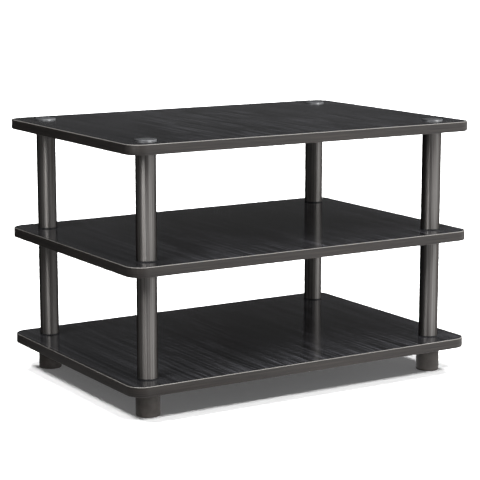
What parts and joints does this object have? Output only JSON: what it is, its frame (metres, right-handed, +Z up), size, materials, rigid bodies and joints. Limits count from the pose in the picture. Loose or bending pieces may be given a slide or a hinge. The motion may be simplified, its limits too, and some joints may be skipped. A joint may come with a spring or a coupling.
{
  "type": "television stand",
  "caption": "Open rectangular television stand: rounded woodgrain shelves on screw-together tube columns, with round caps and feet.",
  "frame": {"origin": "on the floor under the middle of the stand", "axes": "+X to the right along the shelves' width, +Y to the rear, +Z up"},
  "size_m": [0.6, 0.42, 0.4021],
  "materials": {
    "particle_board": "raw sawn particle board, hidden under its skins",
    "woodgrain_laminate": "charcoal black woodgrain laminate, satin, grain running front to back",
    "edge_band": "dark brown grey plastic edge band with fine grain and trimmed bright edges",
    "tube_foil": "plastic tube wrapped in gunmetal foil, satin metallic with fine lengthwise lines",
    "insert_plastic": "moulded black plastic",
    "cap_plastic": "moulded dark grey plastic, semi gloss",
    "foot_plastic": "moulded near black plastic, satin"
  },
  "bodies": {
    "root": {"bottom_shelf_core": "particle_board", "bottom_shelf_edge_band": "edge_band", "bottom_shelf_upper_laminate": "woodgrain_laminate", "bottom_shelf_lower_laminate": "woodgrain_laminate", "middle_shelf_core": "particle_board", "middle_shelf_edge_band": "edge_band", "middle_shelf_upper_laminate": "woodgrain_laminate", "middle_shelf_lower_laminate": "woodgrain_laminate", "top_shelf_core": "particle_board", "top_shelf_edge_band": "edge_band", "top_shelf_upper_laminate": "woodgrain_laminate", "top_shelf_lower_laminate": "woodgrain_laminate", "lower_front_left_tube": "tube_foil", "lower_front_left_socket": "insert_plastic", "lower_front_left_stud": "insert_plastic", "lower_front_right_tube": "tube_foil", "lower_front_right_socket": "insert_plastic", "lower_front_right_stud": "insert_plastic", "lower_rear_left_tube": "tube_foil", "lower_rear_left_socket": "insert_plastic", "lower_rear_left_stud": "insert_plastic", "lower_rear_right_tube": "tube_foil", "lower_rear_right_socket": "insert_plastic", "lower_rear_right_stud": "insert_plastic", "upper_front_left_tube": "tube_foil", "upper_front_left_socket": "insert_plastic", "upper_front_left_stud": "insert_plastic", "upper_front_right_tube": "tube_foil", "upper_front_right_socket": "insert_plastic", "upper_front_right_stud": "insert_plastic", "upper_rear_left_tube": "tube_foil", "upper_rear_left_socket": "insert_plastic", "upper_rear_left_stud": "insert_plastic", "upper_rear_right_tube": "tube_foil", "upper_rear_right_socket": "insert_plastic", "upper_rear_right_stud": "insert_plastic", "front_left_cap": "cap_plastic", "front_right_cap": "cap_plastic", "rear_left_cap": "cap_plastic", "rear_right_cap": "cap_plastic", "front_left_foot": "foot_plastic", "front_right_foot": "foot_plastic", "rear_left_foot": "foot_plastic", "rear_right_foot": "foot_plastic"}
  },
  "joints": []
}
